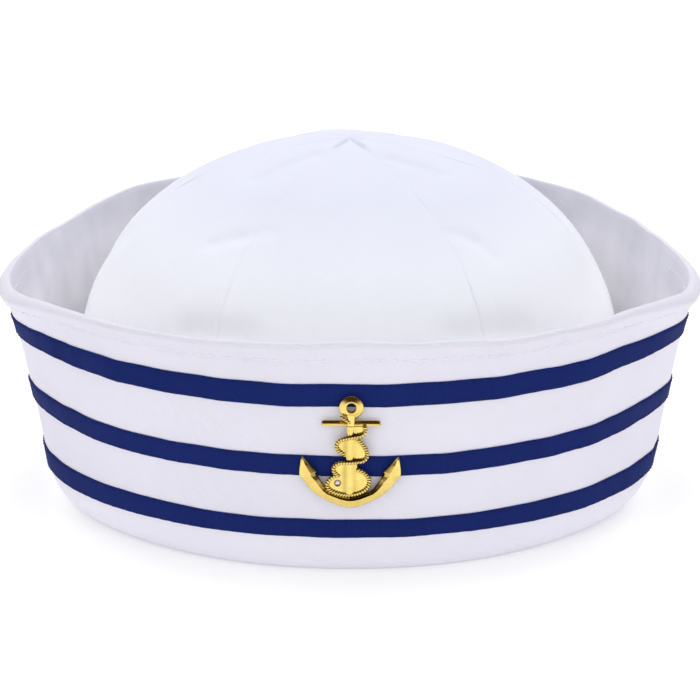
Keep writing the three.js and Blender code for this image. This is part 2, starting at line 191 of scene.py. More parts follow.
# Many copies of one small closed shape, as one mesh. Each copy's local x, y and z run along its own three
# directions from its own centre.
def scatterPiece(name, shape, faces, centres, along, across, out):
    axes = enumerate((along, across, out))
    vertices = centres[:, None] + sum(shape[None, :, k, None] * axis[:, None] for k, axis in axes)
    offsets = np.arange(len(centres))[:, None, None] * len(shape)
    return meshPiece(name, vertices.reshape(-1, 3), (faces[None] + offsets).reshape(-1, faces.shape[1]))


# A stitch as it shows: a short rounded bar whose ends dip into the cloth. Its radius along the length is
# thick * sqrt(1 - t^4) and its middle line sinks by the square of t at the ends.
def stitchShape(length, thick):
    t = np.array([-1, -0.82, -0.45, 0.0, 0.45, 0.82, 1])[:, None]
    turn = np.arange(6)[None] * math.tau / 6
    radius = thick * np.sqrt(np.clip(1 - t ** 4, 0.004, 1))
    x = np.broadcast_to(t * length / 2, (7, 6))
    shape = np.stack([x, radius * np.cos(turn), radius * np.sin(turn) - thick * 0.9 * t * t], -1).reshape(-1, 3)
    quads = gridQuads(7, 6, False, True)[2][:, [0, 3, 2, 1]]
    caps = np.array([[3, 2, 1, 0], [5, 4, 3, 0], [37, 38, 39, 36], [39, 40, 41, 36]])
    return shape, np.concatenate([quads, caps])


# A row of stitches on a path: points are spread at the pitch by running length, each with a slight
# seeded slip, and lie along the path with the cloth's normal as their upward direction.
def stitchRow(path, normals, pitch, seed, closed=True):
    if closed:
        path, normals = np.concatenate([path, path[:1]]), np.concatenate([normals, normals[:1]])
    run = runLength(path)
    count = int(run[-1] / pitch)
    at = (np.arange(count) + 0.5) * run[-1] / count
    at = at + np.random.default_rng(seed).normal(0, 0.09 * pitch, count)

    def onPath(values, where):
        return np.stack([np.interp(where, run, values[:, k]) for k in range(3)], -1)

    centres, out = onPath(path, at), onPath(normals, at)
    along = unit(onPath(path, at + 0.3) - onPath(path, at - 0.3))
    across = unit(np.cross(out, along))
    return centres, along, across, np.cross(along, across)


def stitchPiece(name, rows, length, thick):
    shape, faces = stitchShape(length, thick)
    return scatterPiece(name, shape, faces, *[np.concatenate(part) for part in zip(*rows)])


# A value in a material, so that plain arithmetic adds its Math nodes.
class Value:
    def __init__(self, look, socket):
        self.look, self.socket = look, socket

    def math(self, operation, *others):
        inputs = dict(enumerate([self, *others]))
        return self.look.node("ShaderNodeMath", {"operation": operation}, inputs)

    def __add__(self, other): return self.math("ADD", other)
    def __radd__(self, other): return self.math("ADD", other)
    def __sub__(self, other): return self.math("SUBTRACT", other)
    def __rsub__(self, other): return (self * -1).math("ADD", other)
    def __mul__(self, other): return self.math("MULTIPLY", other)
    def __rmul__(self, other): return self.math("MULTIPLY", other)
    def sine(self): return self.math("SINE")
    def size(self): return self.math("ABSOLUTE")


class Look:
    def __init__(self, name):
        self.material = bpy.data.materials.new(name)
        self.material.use_nodes = True
        self.nodes = self.material.node_tree.nodes
        self.links = self.material.node_tree.links
        self.nodes.clear()
        self.body = self.node("ShaderNodeTexCoord", output=3)     # Object coordinates

    # One node: its type, its settings, then what goes into its sockets. Returns one of its outputs.
    def node(self, kind, settings=None, inputs=None, output=0):
        node = self.nodes.new(kind)
        for key, value in (settings or {}).items():
            setattr(node, key, value)
        for key, value in (inputs or {}).items():
            if isinstance(value, Value):
                self.links.new(value.socket, node.inputs[key])
            else:
                node.inputs[key].default_value = value
        return Value(self, node.outputs[output])

    def split(self, vector):
        node = self.nodes.new("ShaderNodeSeparateXYZ")
        self.links.new(vector.socket, node.inputs[0])
        return [Value(self, node.outputs[k]) for k in range(3)]

    def noise(self, vector, scale, detail):
        return self.node("ShaderNodeTexNoise", {}, {"Vector": vector, "Scale": scale, "Detail": detail})

    # A value's range from low to high turned into 0 to 1, or into another range.
    def spread(self, value, low, high, start=0.0, end=1.0):
        inputs = {"Value": value, "From Min": low, "From Max": high, "To Min": start, "To Max": end}
        return self.node("ShaderNodeMapRange", {}, inputs)

    def blend(self, factor, first, second, mode="MIX"):
        inputs = {0: factor, 6: (*first, 1) if isinstance(first, tuple) else first,
                  7: (*second, 1) if isinstance(second, tuple) else second}
        return self.node("ShaderNodeMix", {"data_type": "RGBA", "blend_type": mode}, inputs, output=2)

    def bump(self, height, distance, under=None):
        inputs = {"Height": height, "Distance": distance, "Strength": 1.0}
        if under:
            inputs["Normal"] = under
        return self.node("ShaderNodeBump", {}, inputs)

    def finish(self, varying, fixed):
        shader = self.node("ShaderNodeBsdfPrincipled", {}, {**fixed, **varying})
        out = self.nodes.new("ShaderNodeOutputMaterial")
        self.links.new(shader.socket, out.inputs["Surface"])
        return self.material


# Cotton drill: fine slanting ribs from the sum of both thread counts, with a plain weave's small squares
# under them, a little painted shade between the raised threads, and a slow change of whiteness that is paler
# towards the foot: painted light that lifts the shade low down. Where the cloth has an inside, its tone also
# changes past the turn at the rim, by the distance from it along the cloth: painted shade just past the turn,
# painted light further in, and a darker edge along the turn that is partly wear and partly painted shade.
def cottonLook(name, cotton):
    look = Look(name)
    weave = look.node("ShaderNodeUVMap", {"uv_map": "weave"})
    u, v, _ = look.split(weave)
    around, up = u * (math.tau / (cotton["thread"] * mm)), v * (math.tau / (cotton["thread"] * mm))
    ribs = ((around + up) * 0.5).sine()
    squares = around.sine() * up.sine()
    slubs = look.noise(weave, 1600.0, 2.0)
    patches = look.noise(look.body, 38.0, 4.0)
    cloud = look.noise(look.body, 11.0, 3.0)
    height = ribs * 0.5 + squares * 0.3 + slubs * 0.9
    normal = look.bump(patches, cotton["crumple"] * mm, look.bump(height, cotton["relief"] * mm))
    color = look.blend(look.spread(cloud * 0.6 + patches * 0.4, 0.35, 0.65), cotton["shade"], cotton["color"])
    # painted light: paler towards the foot, lifting the shade low on the brim and at the crown's foot
    level = look.split(look.body)[2] + cloud * 0.012
    color = look.blend(look.spread(level, cotton["footFrom"] * mm, cotton["footTo"] * mm), color, cotton["foot"])
    if "inside" in cotton:
        fromTurn = v - cotton["turnAt"] * mm
        mottle = look.spread(patches, 0.3, 0.7)
        # painted shade: just past the turn, the inside of the brim takes a darker colour
        behind = look.spread(fromTurn, *[edge * mm for edge in cotton["hemFrom"]])
        color = look.blend(behind, color, look.blend(mottle, cotton["hemShade"], cotton["hemInside"]))
        # painted light: further in, the inside turns paler, up to white, to lift the shade in the channel by the
        # crown
        inner = look.spread(fromTurn + patches * 0.012, *[edge * mm for edge in cotton["insideFrom"]])
        color = look.blend(inner, color, look.blend(mottle, cotton["insideShade"], cotton["inside"]))
        # wear and painted shade: the edge along the turn is darker, which also tones down the light on the rim's top
        worn = look.spread(fromTurn.size(), *[edge * mm for edge in cotton["edgeWearShade"]], 1.0, 0.0)
        color = look.blend(worn * (0.75 + patches * 0.5), color, cotton["edge"])
    # painted shade: the colour is darkened to 0.97 where the weave's height is low, between the raised threads
    thread = look.spread(height, -0.6, 1.4, 0.97, 1.0)
    weaveShade = look.node("ShaderNodeCombineColor", {}, {0: thread, 1: thread, 2: thread})
    color = look.blend(1.0, color, weaveShade, "MULTIPLY")
    rough = look.spread(patches, 0.0, 1.0, 0.82, 0.96)
    return look.finish({"Base Color": color, "Roughness": rough, "Normal": normal},
                       {"Specular IOR Level": 0.12})


# Ribbed tape: ribs across its width, paler where a rib stands up or the fibres are worn.
def tapeLook(name, tape):
    look = Look(name)
    weave = look.node("ShaderNodeUVMap", {"uv_map": "weave"})
    u, v, _ = look.split(weave)
    ribs = (u * (math.tau / (tape["rib"] * mm))).sine()
    threads = (v * (math.tau / (tape["thread"] * mm))).sine()
    fuzz = look.noise(weave, 2200.0, 2.0)
    patches = look.noise(look.body, 60.0, 4.0)
    height = ribs * 0.6 + threads * 0.15 + fuzz * 0.6
    normal = look.bump(height, tape["relief"] * mm)
    tone = look.spread(ribs * 0.25 + fuzz * 0.5 + patches * 0.7, 0.2, 1.0)
    color = look.blend(tone, tape["color"], tape["worn"])
    rough = look.spread(fuzz, 0.0, 1.0, 0.6, 0.85)
    return look.finish({"Base Color": color, "Roughness": rough, "Normal": normal},
                       {"Specular IOR Level": 0.08})


# Sewing thread: a twist along each stitch and a slight change of tone from stitch to stitch.
def threadLook(name, color, shade):
    look = Look(name)
    x, y, z = look.split(look.body)
    twist = ((x + y * 0.7 + z * 1.3) * (math.tau / (0.3 * mm))).sine()
    tone = look.noise(look.body, 240.0, 1.0)
    mixed = look.blend(tone, shade, color)
    rough = look.spread(tone, 0.0, 1.0, 0.65, 0.85)
    return look.finish({"Base Color": mixed, "Roughness": rough, "Normal": look.bump(twist, 0.012 * mm)},
                       {"Specular IOR Level": 0.1})


# Gilt metal: bright and smooth, with a soft ripple from the stamping, fine scratches, and one dark colour
# for a tarnish that lies in its hollows and for painted shade on faces that should mirror the dark ceiling.
def giltLook(name, gilt):
    look = Look(name)
    ripple = look.noise(look.body, 260.0, 2.0)
    grain = look.noise(look.body, 1400.0, 3.0)
    placing = {"Vector": look.body, "Rotation": (0.0, 0.6, 0.0), "Scale": (220.0, 220.0, 5200.0)}
    scratch = look.noise(look.node("ShaderNodeMapping", {}, placing), 1.0, 2.0)
    tone = look.spread(ripple * 0.6 + grain * 0.4, 0.35, 0.65)
    # tarnish in the hollows and painted shade, both in one dark colour
    patinaAndShade = look.node("ShaderNodeAttribute", {"attribute_name": "patinaAndShade"}, {}, output=2)
    color = look.blend(patinaAndShade, look.blend(tone, gilt["deep"], gilt["color"]), gilt["patinaShadeColor"])
    rough = look.spread(scratch * 0.6 + grain * 0.4, 0.3, 0.7, gilt["polish"], gilt["polish"] + 0.16)
    normal = look.bump(scratch, 0.006 * mm, look.bump(ripple, 0.05 * mm))
    return look.finish({"Base Color": color, "Roughness": rough, "Normal": normal}, {"Metallic": 1.0})


def dress(piece, material, slotName, *nodes):
    piece.data.materials.clear()
    piece.data.materials.append(material)
    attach(piece, "root")
    if nodes:
        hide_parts(*nodes)


brim = {
    "wall": 2.0,
    "stitchBelow": 4.6,    # hem stitches below the rim
    "stitchPitch": 3.0,
    "stitch": (2.1, 0.2),  # length and radius of a stitch
    "legSeam": 3.4,        # height and pitch of the stitches inside the leg
    "legPitch": 3.2,
    # azimuth from the front, how far the rim's edge stands above its height, and the rolled hem's thickness
    "rimLine": [
        (0, 0.85, 2.6), (12, 0.2, 2.6), (22, -0.9, 2.6), (32, -1.8, 2.7), (41, -2.2, 2.9), (50, -2.5, 3.3),
        (60, -2.9, 4.0), (68, -3.3, 4.5), (74, -1.7, 4.0), (80, 0.2, 2.8), (88, 0.7, 2.0), (96, 0.1, 1.7),
        (104, -0.9, 1.7), (112, -1.1, 1.6), (122, -0.7, 1.6), (134, -0.1, 1.5), (150, 0, 1.5), (180, 0, 1.5)],
    "crease": 0.5,         # the rolled edge's crease below the rim, and how much lower it is at the front
    "creaseFront": 0.3,
    "creaseDepth": 0.18,
    "legHeight": 6.0,
    "legWall": 1.6,
    "footWidth": 6.0,      # from the leg across to the fold
    "floor": 2.2,          # height of the channel's floor between the leg and the wall
    "foldPower": 2.4,      # how late the wall turns in towards the fold
    "sway": 0.4,           # slow waves in the wall
    "ripple": 0.1,         # small ripples in the wall
    "innerRipple": 0.22,   # waves of its inner face
    "pucker": 0.16,        # pull of the hem stitches
    "stitchGroove": 0.2,   # how far they sink the cloth along their row
    "backRadius": 105.0,   # the seam at the middle of the back: the brim's radius there, its depth and its lap
    "backSeam": 0.35,
    "backLap": 0.2,
    "lapWidth": 6.5,
    "columns": 640,
    # half of the plan: azimuth from the front, then shares of the flare at the fold, three tapes and rim
    "plan": [
        (0, 0.36, 0.64, 0.78, 0.77, 0.71), (20, 0.41, 0.66, 0.81, 0.84, 0.76),
        (40, 0.44, 0.72, 0.87, 0.91, 0.79), (52, 0.43, 0.76, 0.86, 0.92, 0.94),
        (60, 0.42, 0.78, 0.87, 1.01, 1.17), (67, 0.40, 0.75, 0.89, 1.09, 1.40),
        (73, 0.36, 0.66, 0.86, 1.09, 1.34), (80, 0.32, 0.53, 0.71, 0.89, 1.09),
        (90, 0.29, 0.43, 0.60, 0.67, 0.80), (105, 0.29, 0.40, 0.50, 0.55, 0.63),
        (120, 0.30, 0.46, 0.51, 0.56, 0.61), (140, 0.33, 0.53, 0.61, 0.66, 0.71),
        (160, 0.35, 0.58, 0.69, 0.71, 0.74), (180, 0.36, 0.60, 0.71, 0.73, 0.73)],
    # hemFrom, insideFrom and edgeWearShade: where a tone begins and is full, in mm along the cloth from the rim. The
    # hem's inside tone is painted shade, the inside further in is painted light, and the edge is partly wear and
    # partly painted shade.
    "cotton": {
        "thread": 0.55, "relief": 0.022, "crumple": 0.7,
        "color": (0.80, 0.785, 0.88), "shade": (0.77, 0.75, 0.845),
        "foot": (0.88, 0.865, 0.95), "footFrom": 24.0, "footTo": 8.0,
        "hemInside": (0.73, 0.715, 0.785), "hemShade": (0.64, 0.63, 0.70), "hemFrom": (1.5, 3.0),
        "inside": (1.0, 0.99, 1.0), "insideShade": (0.95, 0.94, 0.985), "insideFrom": (15.0, 34.0),
        "edge": (0.68, 0.665, 0.745), "edgeWearShade": (0.8, 2.6)},
}
tapes = {
    # share of the brim's height, then width and rise of the middle line at the front and at the corners
    "rows": [
        ("stripe_bottom", 0.215, 6.1, 0.15, 7.1, -0.15), ("stripe_middle", 0.501, 6.6, -0.07, 6.7, -0.07),
        ("stripe_top", 0.796, 7.0, 0.3, 6.7, -0.1)],
    "half": 3.2,           # half its width in cloth coordinates
    "thick": 0.5,
    "lift": 0.06,
    "stitchIn": 0.75,      # edge stitches, in from the edge
    "stitchPitch": 2.6,
    "stitch": (1.7, 0.13),
    "cloth": {"rib": 0.7, "thread": 0.4, "relief": 0.035,
              "color": (0.0045, 0.0135, 0.105), "worn": (0.0085, 0.021, 0.148)},
}


# Radius of the brim's outer face for every azimuth and height, with or without its small puckers. It is the
# opening's radius plus the plan's shares times the flare, less the turn of the fold near the floor, which
# goes as a power of (1 - height), and rounds off exponentially at the very bottom. Slow waves, ripples, the
# pull of the stitches and the seam at the back come on top.
def brimFace(azimuth, height, fine=True):
    azimuth, height = np.broadcast_arrays(azimuth, height)
    folded = np.where(azimuth % 360 > 180, 360 - azimuth % 360, azimuth % 360).ravel()
    plan = np.array(brim["plan"])
    shares = curveWeights(plan[:, 0], folded, True) @ plan[:, 1:]
    levels = [row[1] * hat["rim"] for row in tapes["rows"]] + [hat["rim"]]
    up = np.minimum(height.ravel(), hat["rim"])
    wall = (curveWeights(levels, up) * shares[:, 1:]).sum(1).reshape(height.shape)
    turn = np.clip(1 - height / levels[0], 0, 1) ** brim["foldPower"]
    drop = (shares[:, 1] - shares[:, 0]).reshape(height.shape) * turn
    radius = openingRadius(azimuth) + hat["flare"] * (wall - drop) - 1.2 * np.exp(-height / 0.9)
    risen = smooth(3, 22, height)
    radius = radius + brim["sway"] * softWaves(azimuth, height, hat["seed"], (3, 13), (0.1, 0.5)) * risen
    radius = radius + brim["ripple"] * softWaves(azimuth, height, hat["seed"] + 1, (24, 70), (0.4, 2.2), 24) * risen
    if not fine:
        return radius
    under = hat["rim"] - brim["stitchBelow"] - height
    pull = softWaves(azimuth, height * 0, hat["seed"] + 2, (90, 210), (0, 0.1), 30)
    radius = radius + brim["pucker"] * pull * np.exp(-np.abs(under) / 3.2)
    radius = radius - brim["stitchGroove"] * np.exp(-(under / 0.7) ** 2)
    back = np.radians(np.abs(azimuth % 360 - 180)) * brim["backRadius"]
    lap = smooth(brim["lapWidth"] + 0.5, brim["lapWidth"] - 0.5, back)
    return radius - brim["backSeam"] * np.exp(-(back / 0.6) ** 2) + brim["backLap"] * lap * risen


# How far the hem's edge stands above or below the rim's height, with slow waves, and the hem's thickness.
def rimLine(azimuth):
    folded = np.minimum(azimuth % 360, 360 - azimuth % 360)
    line = np.array(brim["rimLine"])
    rise, thick = (curveWeights(line[:, 0], folded.ravel(), True) @ line[:, 1:]).T
    waves = softWaves(azimuth, azimuth * 0, hat["seed"] + 3, (4, 24), (0, 0.1), 16)
    return rise.reshape(folded.shape) + 0.15 * waves, thick.reshape(folded.shape)


# Small waves of the inner face against the outer one.
def innerRipple(azimuth, height):
    return brim["innerRipple"] * softWaves(azimuth, height, hat["seed"] + 4, (8, 40), (0.3, 1.6), 20)


# The brim's wall is one closed loop at each azimuth: up the outer face, over the hem in a half round, down
# the inner face one wall thickness behind the outer one, along the channel's floor and over the inner leg.
def brimLoops():
    azimuth = np.arange(brim["columns"]) * 360 / brim["columns"]
    rim = hat["rim"]
    heights = np.concatenate([np.array([0, 0.25, 0.6, 1.1, 1.8, 2.7, 3.8, 5.2]), np.linspace(6.8, 64, 30),
                              np.linspace(64.6, rim - 3, 12), np.linspace(rim - 2.7, rim - 0.2, 16)])
    a, z = azimuth[:, None], heights[None, :]
    rise, hem = rimLine(a)
    rise = rise * smooth(rim - 9, rim - 1, z)
    folded = np.minimum(a, 360 - a)
    under = z - (rim - brim["crease"] - brim["creaseFront"] * smooth(40, 15, folded))
    roll = 0.12 * smooth(-0.3, 0.3, under) - brim["creaseDepth"] * np.exp(-(under / 0.25) ** 2)
    outer = np.stack([brimFace(a, z) + roll * smooth(58, 44, folded), z + rise], -1)
    base = np.stack([brimFace(a, z, False), z + rise], -1)
    tangent = unit(np.gradient(base, axis=1))
    inward = np.stack([-tangent[..., 1], tangent[..., 0]], -1)
    ripple = innerRipple(a, z) * smooth(6, 20, z) * smooth(rim, rim - 5, z)
    thick = brim["wall"] + (hem - brim["wall"]) * smooth(rim - 16, rim - 4, z) + ripple
    inner = (base + inward * thick[..., None])[:, np.r_[0:38, 38:50:2, 50:65:3, 65]]
    # over the hem an arc joins the ends of both faces, and rises by the sine of its angle times 0.3 of the
    # hem's thickness
    first, last = outer[:, -1], inner[:, -1]
    middle, half = (first + last) / 2, (last - first) / 2
    arc = np.linspace(0, np.pi, 11)[1:-1]
    over = middle[:, None] - half[:, None] * np.cos(arc)[:, None]
    over[..., 1] += 0.3 * hem * np.sin(arc)
    opening = openingRadius(azimuth)
    legWall, legTop = brim["legWall"], brim["legHeight"]
    keep = inner[:, ::-1][:, :-4]
    brim["turn"] = outer.shape[1] + len(arc) // 2
    channel = np.maximum(inner[:, 1, 0] - 0.5, opening + legWall + 0.6)
    floorOut = np.stack([channel, np.full(len(azimuth), brim["floor"])], -1)
    leg = [(opening + legWall + 0.5, brim["floor"] + 0.1), (opening + legWall, 3.0),
           (opening + legWall, legTop - 0.5), (opening + legWall - 0.5, legTop),
           (opening + 0.5, legTop), (opening, legTop - 0.5), (opening, 3.0),
           (opening, 1.2), (opening + 0.5, 0.3), (opening + 1.3, 0.0)]
    leg = np.stack([np.stack(np.broadcast_arrays(*point), -1) for point in leg], 1)
    loops = np.concatenate([outer, over, keep, floorOut[:, None], leg], 1)
    return azimuth, loops


azimuth, loops = brimLoops()
points = place(azimuth[:, None], loops[..., 0], loops[..., 1])
run = runLength(loops.mean(0))
run = np.append(run, run[-1] + brim["footWidth"])
brim["cotton"]["turnAt"] = run[brim["turn"]]
brimCloth = clothPiece("brim_cloth", points, bandWeave(len(azimuth), run), True)
dress(brimCloth, cottonLook("brim cotton", brim["cotton"]), "brim_cotton", "brim")


lineAzimuth = np.arange(1440) / 4     # of the points that carry every row of stitches round the brim


# Points and outward normals of the brim's outer face along a line at one height.
def brimLine(height, offset=0.0, rise=0.0):
    low, high = brimFace(lineAzimuth, height - 0.5), brimFace(lineAzimuth, height + 0.5)
    path = place(lineAzimuth, (low + high) / 2, height + rise)
    side = np.roll(path, -3, 0) - np.roll(path, 3, 0)
    up = place(lineAzimuth, high, height + 0.5) - place(lineAzimuth, low, height - 0.5)
    normal = unit(np.cross(side, up))
    return path + normal * offset, normal


whiteThread = threadLook("white thread", (0.91, 0.9, 0.97), (0.80, 0.79, 0.88))
navyThread = threadLook("navy thread", (0.016, 0.026, 0.150), (0.007, 0.012, 0.080))

# hem stitches outside, and the same seam's stitches inside
seam = hat["rim"] - brim["stitchBelow"]
rise, hem = rimLine(lineAzimuth)
rise = rise * smooth(hat["rim"] - 9, hat["rim"] - 1, seam)
outside, outNormal = brimLine(seam, 0.06, rise)
pulled = brimFace(lineAzimuth, seam) - brimFace(lineAzimuth, seam, False)
depth = hem + innerRipple(lineAzimuth, seam) + pulled
inside, inNormal = brimLine(seam, (0.12 - depth)[:, None], rise)
legLine = place(lineAzimuth, openingRadius(lineAzimuth) - 0.03, brim["legSeam"])
intoHead = place(lineAzimuth, -1.0, 0.0) - place(lineAzimuth, 0.0, 0.0)
rows = [stitchRow(outside, outNormal, brim["stitchPitch"], 1), stitchRow(inside, -inNormal, brim["stitchPitch"], 2),
        stitchRow(legLine, intoHead, brim["legPitch"], 3)]
dress(stitchPiece("hem_stitches", rows, *brim["stitch"]), whiteThread, "brim_cotton")
print("brim made")


# Height of a tape's middle line and its width: both change softly from the front to the corners, and the
# line wanders a little.
def tapeLine(azimuth, row, seed):
    folded = np.minimum(azimuth % 360, 360 - azimuth % 360)
    side = smooth(12, 46, folded)
    _, level, frontWidth, frontRise, sideWidth, sideRise = row
    wander = 0.13 * softWaves(azimuth, azimuth * 0, seed, (5, 40), (0, 0.1), 20)
    middle = level * hat["rim"] + frontRise + (sideRise - frontRise) * side + wander
    return middle, frontWidth + (sideWidth - frontWidth) * side


# A tape's loop at each azimuth: across its front from the lower to the upper edge, with a slight crown and
# rounded edges, and back behind on the cloth.
def tapeGrid(row, seed):
    azimuth = np.arange(brim["columns"]) * 360 / brim["columns"]
    a = azimuth[:, None]
    middle, width = [part[:, None] for part in tapeLine(azimuth, row, seed)]
    across = np.array([-1, -0.985, -0.95, -0.85, -0.5, 0, 0.5, 0.85, 0.95, 0.985, 1, 0.97, 0.5, 0, -0.5, -0.97])[None]
    front = np.arange(across.size) < 11
    swell = np.where(front, tapes["lift"] + tapes["thick"] * (1 - np.abs(across) ** 9 * 0.7), tapes["lift"] * 0.3)
    height = middle + across * width / 2
    pull = 0.05 * softWaves(azimuth, azimuth * 0, seed + 9, (90, 200), (0, 0.1), 24)[:, None]
    low, high = brimFace(a, height - 0.4), brimFace(a, height + 0.4)
    slope = (high - low) / 0.8
    length = np.hypot(1, slope)
    out = swell + np.where(front, pull * np.abs(across), 0)
    points = place(a, (low + high) / 2 + out / length, height - out * slope / length)
    run = np.cumsum(np.abs(np.diff(across[0], append=-1.0)) * tapes["half"])
    return points, np.append(0, run)


navyTape = tapeLook("navy tape", tapes["cloth"])
rows = []
for k, row in enumerate(tapes["rows"]):
    points, run = tapeGrid(row, 40 + k)
    tape = clothPiece(row[0] + "_tape", points, bandWeave(len(points), run), True)
    dress(tape, navyTape, "navy_tape", row[0])
    middle, width = tapeLine(lineAzimuth, row, 40 + k)
    for side in (-1, 1):
        edge = middle + side * (width / 2 - tapes["stitchIn"])
        path, normal = brimLine(edge, tapes["lift"] + tapes["thick"] + 0.02)
        rows.append(stitchRow(path, normal, tapes["stitchPitch"], 60 + 2 * k + side))
dress(stitchPiece("tape_stitches", rows, *tapes["stitch"]), navyThread, "navy_tape")
print("tapes made")


crown = {
    "wall": 1.2,
    "seamPull": 0.5,       # how far a seam sits below the middle of its panel
    "groove": 0.05,        # depth of the seam's groove, with more where it leaves the brim and at the top
    "grooveFoot": 0.25,
    "grooveTop": 0.55,
    "fell": 0.15,          # thickness of the seam allowance under the cloth
    "fellWidth": 5.0,
    "stitchPitch": 3.0,
    "stitch": (2.0, 0.16),
    "length": 157.0,       # of a panel's middle, from its lower edge to the top
    "leavesBrim": 70.0,    # how far up that line the crown comes out of the brim
    "halfPanel": 30.0,     # half a panel's angle
    "columns": 64,
    "rows": 110,
    # profile from the lower edge to the top: shares of its radius and of its height
    "profile": [
        (1, 0), (1, 0.108), (0.995, 0.215), (0.985, 0.322), (0.967, 0.4285), (0.928, 0.531), (0.869, 0.628),
        (0.794, 0.714), (0.702, 0.789), (0.599, 0.851), (0.487, 0.9), (0.369, 0.936), (0.247, 0.965),
        (0.125, 0.988), (0, 1)],
    # soft creases: azimuth and height of both ends, depth and half width
    "creases": [
        (-42, 88.4, -34, 91.6, 0.6, 2.4), (-34, 91.6, -25, 93.6, 0.45, 2.6), (32, 92.8, 38, 90, 0.55, 2.3),
        (38, 90, 41, 85, 0.5, 2.2), (-54, 102.6, -45, 107.8, 1.3, 3.0), (42, 107, 58, 103, 1.3, 3.0),
        (-30, 109.75, -30, 109.1, 0.9, 0.8), (30, 109.75, 30, 109.1, 0.9, 0.8),
        (-38, 65.5, -23, 67.5, 1.2, 5.0), (23, 67.5, 40, 65.5, 1.2, 5.0), (120, 80, 150, 88, 0.7, 5.0),
        (-165, 70, -140, 84, 0.6, 5.0), (170, 96, 175, 102, 0.5, 5.0), (80, 70, 95, 84, 0.6, 6.0),
        (-100, 66, -84, 80, 0.6, 6.0)],
    "panels": ["crown_front", "crown_front_right", "crown_back_right",
               "crown_back", "crown_back_left", "crown_front_left"],
    # the crown's cotton is darker than the brim's, painted shade that tones down the light from above, and its paler
    # foot is painted light against the shade just above the brim
    "cotton": {
        "thread": 0.55, "relief": 0.015, "crumple": 0.35,
        "color": (0.705, 0.72, 0.825), "shade": (0.68, 0.695, 0.80),
        "foot": (0.955, 0.965, 1.0), "footFrom": 104.0, "footTo": 68.0},
}


# Point of the smooth crown at a share of the way up its profile: the table's shares times the crown's
# radius at that azimuth and its height.
def crownCurve(azimuth, way):
    shape = np.array(crown["profile"])
    rows = curveWeights(np.linspace(0, 1, len(shape)), way) @ shape
    radius = rows[:, :1].T * (openingRadius(azimuth) + hat["crownGap"])
    height = hat["crownFoot"] + rows[:, 1:].T * (hat["top"] - hat["crownFoot"])
    return radius, np.broadcast_to(height, radius.shape)


# Depth of the creases at points of the crown: each is a valley along the straight line between its ends,
# depth * exp(-(distance / width)^2).
def creaseDepth(points):
    depth = 0
    for azimuthA, heightA, azimuthB, heightB, deep, wide in crown["creases"]:
        ends = []
        for azimuth, height in ((azimuthA, heightA), (azimuthB, heightB)):
            way = np.linspace(0, 1, 201)
            radius, up = crownCurve(np.array([[azimuth]]), way)
            ends.append(place(azimuth, np.interp(height, up[0], radius[0]), height))
        start, step = ends[0], ends[1] - ends[0]
        t = np.clip(((points - start) @ step) / (step @ step), 0, 1)
        distance = np.linalg.norm(points - start - t[..., None] * step, axis=-1)
        depth = depth + deep * np.exp(-(distance / wide) ** 2)
    return depth


# Columns of a panel: shares from its middle to either seam, closer together near the seams.
acrossPanel = np.sin(np.linspace(-1, 1, crown["columns"]) * np.pi / 2)


# One panel: the smooth crown between two seams, pushed in along its normal by the pull of the seams (share
# across to the fourth power), the groove at each seam, and the creases, and raised over the seam allowance.
def panelGrid(middle):
    across = acrossPanel[:, None]
    way = 1 - (1 - np.linspace(0, 1, crown["rows"])) ** 1.12
    azimuth = middle + across * crown["halfPanel"]
    radius, height = crownCurve(azimuth, way)
    points = place(azimuth, radius, height)                     # across, up
    normals = gridNormals(points)
    centre = len(across) // 2, len(way) // 2
    normals *= np.sign(normals[centre] @ (points[centre] - [0, middleY, 40]))
    half = radius * np.radians(crown["halfPanel"])
    fromSeam = (1 - np.abs(across)) * half
    near = np.clip(half / 6, 0, 1)
    run = way[None, :] * crown["length"]
    above = run - crown["leavesBrim"]
    dip = crown["seamPull"] * np.abs(across) ** 4 * near
    deep = crown["groove"] + crown["grooveFoot"] * np.exp(-(above / 18) ** 2)
    deep = deep + crown["grooveTop"] * np.exp(-(crown["length"] - run) / 3.5)
    dip = dip + deep * np.exp(-(fromSeam / 0.5) ** 2)
    fell = crown["fell"] * (0.35 + 0.65 * np.exp(-(above / 22) ** 2))
    raised = fell * smooth(crown["fellWidth"] + 0.6, crown["fellWidth"] - 0.4, fromSeam) * near
    dip = dip - raised * (across < 0)
    wave = softWaves(run * 2.2 + middle * 7, run * 0, hat["seed"] + 20, (2, 9), (0, 0.1), 12)
    dip = dip + 0.10 * wave * np.exp(-fromSeam / 4.5) * near
    slow = softWaves(azimuth, height, hat["seed"] + 21, (3, 9), (0.2, 0.7), 14)
    bend = creaseDepth(points) + 0.22 * slow * smooth(0, 12, half)
    outer = points - normals * (dip + bend)[..., None]
    allowance = 0.5 * smooth(crown["fellWidth"] + 0.5, crown["fellWidth"] - 0.1, fromSeam) * near
    inner = points - normals * (bend + np.minimum(dip, 0.9) * 0.6 + crown["wall"] + allowance)[..., None]
    return outer, inner, normals, radius, azimuth, way


# A panel's closed shell: its outer face, a turned edge into each seam, and its inner face.
def panelShell(name, outer, inner, radius, turned, way):
    loops = np.concatenate([outer, inner[::-1]], 0)             # across and back
    foot, tip = (outer + inner)[:, :1] / 2, (outer + inner)[:, -1:] / 2
    ends = [np.concatenate([e, e[::-1]], 0) for e in (foot, tip)]
    grid = np.concatenate([ends[0], loops, ends[1]], 1)
    u = turned * radius * np.radians(1)
    u = np.concatenate([u, u[::-1] + 3, u[:1]], 0)
    u = np.concatenate([u[:, :1], u, u[:, -1:]], 1)
    v = np.concatenate([[-1], way * crown["length"], [crown["length"] + 1]])[None]
    return clothPiece(name, grid, np.stack(np.broadcast_arrays(u, v), -1), False, 0.004)


